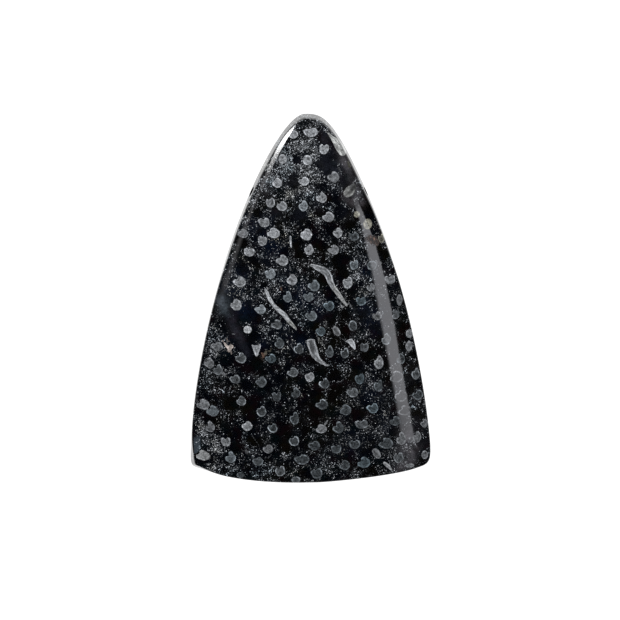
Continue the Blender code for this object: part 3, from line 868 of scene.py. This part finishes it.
# A bundle's outline, in shares of its half size. A place's facing is 1 towards the notch and -1 away
# from it. The lobes beside the notch have a side, a size and how much the size changes with a peak. The
# small middle radius keeps the facing sound in a bundle's very middle.
PLAIN_REACH = 0.96
PEAK_DROP = 0.05
NOTCH_DEPTH = 0.33
NOTCH_FACING = (0.88, 1.0)
LOBE_FACING = 0.60
LOBES = ((-0.4, 0.09, 0.13), (0.4, 0.18, -0.10))
CHEEK_FACING = -0.15
CHEEK_DEPTH = 0.05
SWELL_NARROWNESS = 2.2
LOBE_POWER = 1.3
RAGGEDNESS = 0.32
MIDDLE_RADIUS = 0.001
BUNDLE_EDGE = (0.93, 1.07)
BUNDLE_RIM = (0.71, 0.86)
BUNDLE_CORE = (0.45, 0.75)
RIM_GAIN = 1.40
RIM_RANGE = (0.36, 0.58)
RIM_LEAST = 0.2
RIM_SPREAD = 0.7
RIM_FACING = 0.2
VESSEL_RANGE = (0.42, 0.32)
VESSEL_SHADE = 0.28
FINE_MOTTLE = 1.3
FINER_MOTTLE = 0.7
CELL_MOTTLE = 0.28
BUNDLE_MOTTLE = 1.12

# A streak is made of strands along it. How many there are across and along it, in cycles a millimetre.
STRANDS_ACROSS = 3.4
STRANDS_ALONG = 0.8
STRAND_RANGE = (0.36, 0.60)
STRAND_LEAST = 0.74
STRAND_SPREAD = 0.42
STREAK_EDGE = (1.10, 0.90)
STREAK_RIM = (0.45, 0.75)
STREAK_RAGGEDNESS = 0.25
STREAK_FRAYING = 0.2
STREAK_MOTTLE = 0.7
# Rust lies in specks: from where to where a tint turns to rust, and then to pink, and how it breaks up.
RUST_BEGINS = (1.7, 2.0)
RUST_ENDS = (2.9, 2.5)
RUST_BREAKING = 1.8
# Mottling takes no bundle or streak below this display grey.
LEAST_GREY = 0.08

# The finish: the roughness of the dome and of the sawn back, and what the pits of the iron specks add.
POLISH = 0.055
SAWN = 0.42
PITTED = 0.3
SAWN_HEIGHTS = (0.05, 0.01)
POLISH_CHANGE = 0.05
POLISH_SCALE = 1.4
BUNDLE_DULLER = 0.02
RELIEF_STRENGTH = 0.12
RELIEF_DEPTH = 0.02 * MM
WAVE_SCALE = 0.7
WAVE_RELIEF = 1.8
BUNDLE_RELIEF = -0.15
FINE_RELIEF = 0.7
SAWN_RELIEF = 0.6


class Wire:
    """A socket of a shader. Arithmetic on wires adds the Math nodes for it."""

    def __init__(self, socket):
        self.socket = socket
        self.tree = socket.id_data

    @classmethod
    def node(cls, tree, kind, settings=None, sockets=None, output=0):
        """Add a node, set it, feed its sockets with values or wires, and return one of its outputs."""
        made = tree.nodes.new(kind)
        for name, value in (settings or {}).items():
            setattr(made, name, value)
        for name, value in (sockets or {}).items():
            if isinstance(value, Wire):
                tree.links.new(value.socket, made.inputs[name])
            else:
                made.inputs[name].default_value = value
        return cls(made.outputs[output])

    def math(self, operation, *others):
        """Apply a Math node's operation to this wire and the others."""
        sockets = {index: value for index, value in enumerate((self, *others))}
        return Wire.node(self.tree, "ShaderNodeMath", {"operation": operation}, sockets)

    def __add__(self, other):
        return self.math("ADD", other)

    __radd__ = __add__

    def __sub__(self, other):
        return self.math("SUBTRACT", other)

    def __rsub__(self, other):
        return (self * -1.0) + other

    def __mul__(self, other):
        return self.math("MULTIPLY", other)

    def __truediv__(self, other):
        return self.math("DIVIDE", other)

    def __pow__(self, other):
        return self.math("POWER", other)

    def smooth(self, low, high):
        """Ease from 0 at low to 1 at high."""
        sockets = {"Value": self, "From Min": low, "From Max": high}
        return Wire.node(self.tree, "ShaderNodeMapRange", {"interpolation_type": "SMOOTHSTEP"}, sockets)

    def mixed(self, first, second):
        """Mix two colours by this wire."""
        sockets = {0: self, 6: first, 7: second}
        return Wire.node(self.tree, "ShaderNodeMix", {"data_type": "RGBA"}, sockets, 2)


def parts(wire):
    """Return the three parts of a vector."""
    return [Wire.node(wire.tree, "ShaderNodeSeparateXYZ", None, {0: wire}, part) for part in range(3)]


def attribute(tree, name, output="Vector"):
    """Return a wire of a value that is kept on the mesh."""
    made = tree.nodes.new("ShaderNodeAttribute")
    made.attribute_name = name
    return Wire(made.outputs[output])


def noise(place, scale, detail=2.0, roughness=0.5):
    """Return a noise at a scale in cycles a millimetre."""
    sockets = {"Vector": place, "Scale": scale, "Detail": detail, "Roughness": roughness}
    return Wire.node(place.tree, "ShaderNodeTexNoise", None, sockets)


def scaled(wire, factors):
    """Scale a vector along each axis."""
    return Wire.node(wire.tree, "ShaderNodeVectorMath", {"operation": "MULTIPLY"}, {0: wire, 1: factors})


def shifted(wire, offset):
    """Move a vector by an offset or another wire."""
    return Wire.node(wire.tree, "ShaderNodeVectorMath", {"operation": "ADD"}, {0: wire, 1: offset})


def grey_of(display):
    """Return the colour strength of a display grey under the studio's light."""
    return display ** DISPLAY_GAMMA / STUDIO_GAIN


def tinted(strength, tint):
    """Return a colour of a strength: blue at a tint of -1, grey at 0, cream at 1, rust at 2, pink at 3."""
    warm = tint.smooth(0.0, 1.0).mixed(PLAIN_TINT, CREAM_TINT)
    warm = tint.smooth(1.0, 2.0).mixed(warm, RUST_TINT)
    warm = tint.smooth(2.0, 3.0).mixed(warm, PINK_TINT)
    hue = (tint * -1.0).smooth(0.0, 1.0).mixed(warm, BLUE_TINT)
    sockets = {0: hue, "Scale": strength}
    return Wire.node(strength.tree, "ShaderNodeVectorMath", {"operation": "SCALE"}, sockets)


def grain_wires(tree, place):
    """Return the grain's noises and its cells at a place in the stone, by their names."""
    fibre_place = scaled(place, (1.0, 1.0, FIBRE_STRETCH))
    grain = {}
    for name, (start, scale, detail, roughness) in GRAIN_NOISES.items():
        grain[name] = noise(shifted(fibre_place, start), scale, detail, roughness)
    sockets = {"Vector": fibre_place, "Scale": SPECK_SCALE}
    cells = Wire.node(tree, "ShaderNodeTexVoronoi", None, sockets, 1)
    grain["cell light"], grain["cell share"], _ = parts(cells)
    return grain


def ground_colour(tree, grain, clearing):
    """Return the dark ground's colour: its stains, a fine veil, the clouds and painted reflection, and the
    specks.
    """
    colour = grain["brown"].smooth(*BROWN_RANGE).mixed(GROUND_BLACK, GROUND_BROWN)
    for stain, stain_colour in STAIN_COLOURS.items():
        stained = grain[stain].smooth(*STAIN_RANGE) * STAIN_STRENGTH
        colour = stained.mixed(colour, stain_colour)
    speckle = attribute(tree, "speckle", "Fac")
    density = (speckle + (grain["patchy"] - 0.5) * PATCHINESS).smooth(0.0, FULL_DENSITY)
    veil = density.smooth(0.0, VEIL_DENSITY) * grain["veil"]
    colour = (veil * clearing).mixed(colour, GROUND_HAZE)
    # The clouds and the painted reflection among them are mottled.
    smoke_and_sheen = grain["smoke_and_sheen"].smooth(*SMOKE_AND_SHEEN_RANGE) * SMOKE_AND_SHEEN_SPREAD + SMOKE_AND_SHEEN_LEAST
    smoke_and_sheen = smoke_and_sheen * (1.0 + (grain["fine"] - 0.5) * SMOKE_AND_SHEEN_GRAIN + (grain["finer"] - 0.5) * SMOKE_AND_SHEEN_GRAIN)
    colour = shifted(colour, scaled(attribute(tree, "haze_and_sheen"), smoke_and_sheen))
    blotch = grain["fine"] * 0.5 + grain["finer"] * 0.5 + density * BLOTCH_PUSH
    chance = density * (blotch.smooth(*BLOTCH_RANGE) * CHANCE_SPREAD + CHANCE_LEAST)
    speck_light = (grain["cell share"] + chance - 1.0).smooth(0.0, SPECK_SOFTNESS) * clearing
    speck_grey = SPECK_DARKEST + grain["cell light"] ** SPECK_POWER * SPECK_SPREAD
    speck_grey = speck_grey * (1.0 - attribute(tree, "dullness", "Fac") * DULLING)
    speck_tint = (grain["speck tint"] - 0.5) * SPECK_TINT_SPREAD
    return speck_light.mixed(colour, tinted(grey_of(speck_grey), speck_tint))


def swell(facing, middle):
    """Return 1 where a bundle's edge faces the middle of a swell, falling off to both sides of it."""
    return 1.0 - ((facing - middle) * SWELL_NARROWNESS).math("ABSOLUTE")


def bundle_depth(tree, ragged):
    """Return how far places are from a bundle's middle, 1 at its edge, and how they face its notch."""
    across, aside, notch = parts(attribute(tree, "bundle"))
    peak = attribute(tree, "bundle_peak", "Fac")
    radius = (across * across + aside * aside).math("SQRT")
    facing = across / (radius + MIDDLE_RADIUS)
    siding = aside / (radius + MIDDLE_RADIUS)
    reach = PLAIN_REACH - peak * PEAK_DROP - facing.smooth(*NOTCH_FACING) * notch * NOTCH_DEPTH
    lobe_shape = swell(facing, LOBE_FACING).math("MAXIMUM", 0.0) ** LOBE_POWER * notch
    for side, size, growth in LOBES:
        reach = reach + lobe_shape * siding.smooth(0.0, side) * (peak * growth + size)
    cheeks = swell(facing, CHEEK_FACING).smooth(0.0, 1.0) * notch
    return radius / (reach - cheeks * CHEEK_DEPTH + ragged), facing


def bundle_colour(tree, grain, depth, facing, mottle):
    """Return a bundle's colour: a rim of its own grey round a mottled inside with a few dark vessels."""
    fill_grey, rim_grey, tint = parts(attribute(tree, "bundle_tone"))
    rim = grain["rim"].smooth(*RIM_RANGE) * RIM_SPREAD + RIM_LEAST + facing * RIM_FACING
    rim = depth.smooth(*BUNDLE_RIM) * rim
    grey = (fill_grey + (rim_grey * RIM_GAIN - fill_grey) * rim) * (1.0 + mottle * BUNDLE_MOTTLE)
    vessels = grain["vessels"].smooth(*VESSEL_RANGE) * (1.0 - depth.smooth(*BUNDLE_CORE))
    grey = grey * (1.0 - vessels * VESSEL_SHADE)
    return tinted(grey_of(grey.math("MAXIMUM", LEAST_GREY)), tint)


def stone_material():
    """Return the polished petrified palm."""
    material = bpy.data.materials.new("petrified_palm_polished")
    material.use_nodes = True
    tree = material.node_tree
    shader = tree.nodes["Principled BSDF"]
    shader.inputs["IOR"].default_value = STONE_IOR
    object_place = Wire.node(tree, "ShaderNodeTexCoord", None, None, "Object")
    place = scaled(object_place, (1.0 / MM,) * 3)
    grain = grain_wires(tree, place)
    fine = grain["fine"]
    finer = grain["finer"]
    ragged = (grain["ragged"] - 0.5) * RAGGEDNESS
    mottle = (fine - 0.5) * FINE_MOTTLE + (finer - 0.5) * FINER_MOTTLE
    mottle = mottle + (grain["cell light"] - 0.5) * CELL_MOTTLE

    depth, facing = bundle_depth(tree, ragged)
    inside = 1.0 - depth.smooth(*BUNDLE_EDGE)
    off_path, off_middle, along = parts(attribute(tree, "streak"))
    clearing = depth.smooth(*BUNDLE_CLEARING) * (1.0 - BUNDLE_CLEARING_LEFT) + BUNDLE_CLEARING_LEFT
    beside = off_path.smooth(*STREAK_CLEARING) * (1.0 - STREAK_CLEARING_LEFT) + STREAK_CLEARING_LEFT
    colour = ground_colour(tree, grain, clearing * beside)
    colour = inside.mixed(colour, bundle_colour(tree, grain, depth, facing, mottle))

    # The streaks, one of them the painted reflection inside the tip's right edge.
    streak_grey, edge_grey, streak_tint = parts(attribute(tree, "streak_tone"))
    rusty = streak_tint.smooth(*RUST_BEGINS) * streak_tint.smooth(*RUST_ENDS)
    frayed = off_path + ragged * STREAK_RAGGEDNESS + (fine - 0.5) * STREAK_FRAYING
    frayed = frayed + (fine + finer - 1.0) * rusty * RUST_BREAKING
    streaked = frayed.smooth(*STREAK_EDGE)
    streak_grey = streak_grey + (edge_grey - streak_grey) * off_path.smooth(*STREAK_RIM)
    thread = {0: off_middle * STRANDS_ACROSS, 1: along * STRANDS_ALONG}
    thread_place = Wire.node(tree, "ShaderNodeCombineXYZ", None, thread)
    strands = noise(thread_place, scale=1.0, detail=2.0, roughness=0.6)
    streak_grey = streak_grey * (STRAND_LEAST + strands.smooth(*STRAND_RANGE) * STRAND_SPREAD)
    streak_grey = streak_grey * (1.0 + mottle * STREAK_MOTTLE)
    streak_colour = tinted(grey_of(streak_grey.math("MAXIMUM", LEAST_GREY)), streak_tint)
    colour = streaked.mixed(colour, streak_colour)
    tree.links.new(colour.socket, shader.inputs["Base Color"])

    _, _, height = parts(place)
    sawn = height.smooth(*SAWN_HEIGHTS)
    cloudy = noise(place, POLISH_SCALE, detail=3.0) - 0.5
    polish = POLISH + cloudy * POLISH_CHANGE + inside * BUNDLE_DULLER
    roughness = polish + sawn * (SAWN - POLISH) + streaked * rusty * PITTED
    tree.links.new(roughness.socket, shader.inputs["Roughness"])
    relief = noise(place, WAVE_SCALE) * WAVE_RELIEF + inside * BUNDLE_RELIEF
    relief = relief + fine * FINE_RELIEF + sawn * finer * SAWN_RELIEF
    sockets = {"Strength": RELIEF_STRENGTH, "Distance": RELIEF_DEPTH, "Height": relief}
    bump = Wire.node(tree, "ShaderNodeBump", None, sockets)
    tree.links.new(bump.socket, shader.inputs["Normal"])
    return material


stone.data.materials.clear()
stone.data.materials.append(stone_material())
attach(stone, "root")
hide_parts("cabochon")

# The table
# A white light table under the stone, far wider than the view. Its glow leaves no shadow by the wall.

TABLE_SIZE = 3.0
TABLE_GAP = 0.01 * MM
TABLE_WHITE = (0.1, 0.1, 0.1, 1.0)
TABLE_GLOW = 1.12

bpy.ops.mesh.primitive_plane_add(size=TABLE_SIZE, location=(0.0, 0.0, -TABLE_GAP))
table = bpy.context.object
table.name = "light_table"
table_white = bpy.data.materials.new("light_table")
table_white.use_nodes = True
table_shader = table_white.node_tree.nodes["Principled BSDF"]
table_shader.inputs["Base Color"].default_value = TABLE_WHITE
table_shader.inputs["Roughness"].default_value = 1.0
table_shader.inputs["Specular IOR Level"].default_value = 0.0
table_shader.inputs["Emission Color"].default_value = (1.0, 1.0, 1.0, 1.0)
table_shader.inputs["Emission Strength"].default_value = TABLE_GLOW
table.data.materials.append(table_white)

# The studio light
# A white tent gives even light with no veil on the polish. The polish shows only the light cards: a
# long one low on the right draws the band on the shoulder, one past the tip draws the bright patch
# there, and two dim ones draw the weaker glints on the left and at the left corner of the base.

TENT_STRENGTH = 1.5
CARD_DISTANCE = 1.0
CARD_STEPS = 24

tent = bpy.data.worlds.new("white_tent")
tent.use_nodes = True
tent.node_tree.nodes["Background"].inputs["Color"].default_value = (1.0, 1.0, 1.0, 1.0)
tent.node_tree.nodes["Background"].inputs["Strength"].default_value = TENT_STRENGTH
tent.cycles_visibility.glossy = False
bpy.context.scene.world = tent


def card_point(azimuth, lean):
    """Return the point that stands at an azimuth from +X and a lean from the vertical, in degrees."""
    around = math.radians(azimuth)
    down = math.radians(lean)
    flat = math.sin(down) * CARD_DISTANCE
    return Vector((flat * math.cos(around), flat * math.sin(around), math.cos(down) * CARD_DISTANCE))


def light_card(name, stations, radiance, fades, tint=(1.0, 1.0, 1.0)):
    """Hang a glowing card that only reflections see, part of a ball round the stone.

    Each station is an azimuth and the leans of the card's upper and lower edge there. The fades are
    the shares of the card over which it dims at its first and last azimuth and its upper and lower edge.
    """
    azimuths, uppers, lowers = zip(*stations)
    shares = [step / CARD_STEPS for step in range(CARD_STEPS + 1)]
    form = bmesh.new()
    share_layer = form.loops.layers.uv.new("share")
    grid = []
    for u in shares:
        azimuth = azimuths[0] + (azimuths[-1] - azimuths[0]) * u
        upper = np.interp(azimuth, azimuths, uppers)
        lower = np.interp(azimuth, azimuths, lowers)
        grid.append([form.verts.new(card_point(azimuth, upper + (lower - upper) * v)) for v in shares])
    for column in range(CARD_STEPS):
        for row in range(CARD_STEPS):
            spots = ((column, row), (column + 1, row), (column + 1, row + 1), (column, row + 1))
            face = form.faces.new([grid[u][v] for u, v in spots])
            for loop, (u, v) in zip(face.loops, spots):
                loop[share_layer].uv = (shares[u], shares[v])
    mesh = bpy.data.meshes.new(name)
    form.to_mesh(mesh)
    form.free()
    glow = bpy.data.materials.new(name)
    glow.use_nodes = True
    tree = glow.node_tree
    shader = tree.nodes["Principled BSDF"]
    shader.inputs["Base Color"].default_value = (0.0, 0.0, 0.0, 1.0)
    shader.inputs["Specular IOR Level"].default_value = 0.0
    shader.inputs["Emission Strength"].default_value = radiance
    across, down, _ = parts(Wire.node(tree, "ShaderNodeUVMap", {"uv_map": "share"}))
    light = across.smooth(0.0, fades[0]) * across.smooth(1.0, 1.0 - fades[1])
    light = light * down.smooth(0.0, fades[2]) * down.smooth(1.0, 1.0 - fades[3])
    tree.links.new(light.mixed((0.0, 0.0, 0.0, 1.0), (*tint, 1.0)).socket, shader.inputs["Emission Color"])
    mesh.materials.append(glow)
    card = bpy.data.objects.new(name, mesh)
    bpy.context.scene.collection.objects.link(card)
    card.visible_camera = False
    card.visible_diffuse = False
    card.visible_transmission = False
    card.visible_shadow = False


# The long card's stations follow a worked-out list of where the edges of the band mirror to.
light_card(
    "right_card",
    stations=(
        (-14, 49.5, 61.5), (-5, 50, 62), (0, 49.8, 62.2), (4, 49.2, 63.6), (8, 49.7, 66.9),
        (13, 53, 69.6), (15.4, 55.5, 72), (18, 58, 70), (22.5, 58, 69),
    ),
    radiance=3.25,
    fades=(0.40, 0.08, 0.25, 0.03),
    tint=(0.93, 0.94, 1.0),
)
light_card(
    "tip_left_card",
    stations=((132, 86, 91), (139, 74, 91), (146, 70.5, 90), (157.5, 71, 77)),
    radiance=32.0,
    fades=(0.3, 0.52, 0.1, 0.02),
)
light_card(
    "left_card",
    stations=((148, 69, 81), (158, 70, 81), (165, 70.5, 80.5), (172, 67, 80.5)),
    radiance=0.8,
    fades=(0.3, 0.2, 0.5, 0.5),
    tint=(1.0, 0.97, 1.0),
)
light_card(
    "corner_card",
    stations=((188.5, 66, 72), (194.5, 64, 71)),
    radiance=1.15,
    fades=(0.3, 0.15, 0.12, 0.15),
    tint=(0.62, 0.82, 1.0),
)

# The camera
# A long lens almost straight above the stone, leaning a little to the tip.

NEAREST_SEEN = 0.01
FARTHEST_SEEN = 10.0

camera_data = bpy.data.cameras.new("camera")
camera_data.lens = LENS
camera_data.sensor_width = SENSOR
camera_data.clip_start = NEAREST_SEEN
camera_data.clip_end = FARTHEST_SEEN
camera = bpy.data.objects.new("camera", camera_data)
bpy.context.scene.collection.objects.link(camera)
camera_turn = Matrix((image_right, image_up, LOOK_BACK)).transposed()
camera.matrix_world = Matrix.Translation(camera_place) @ camera_turn.to_4x4()
bpy.context.scene.camera = camera
bpy.context.scene.view_settings.view_transform = "Standard"
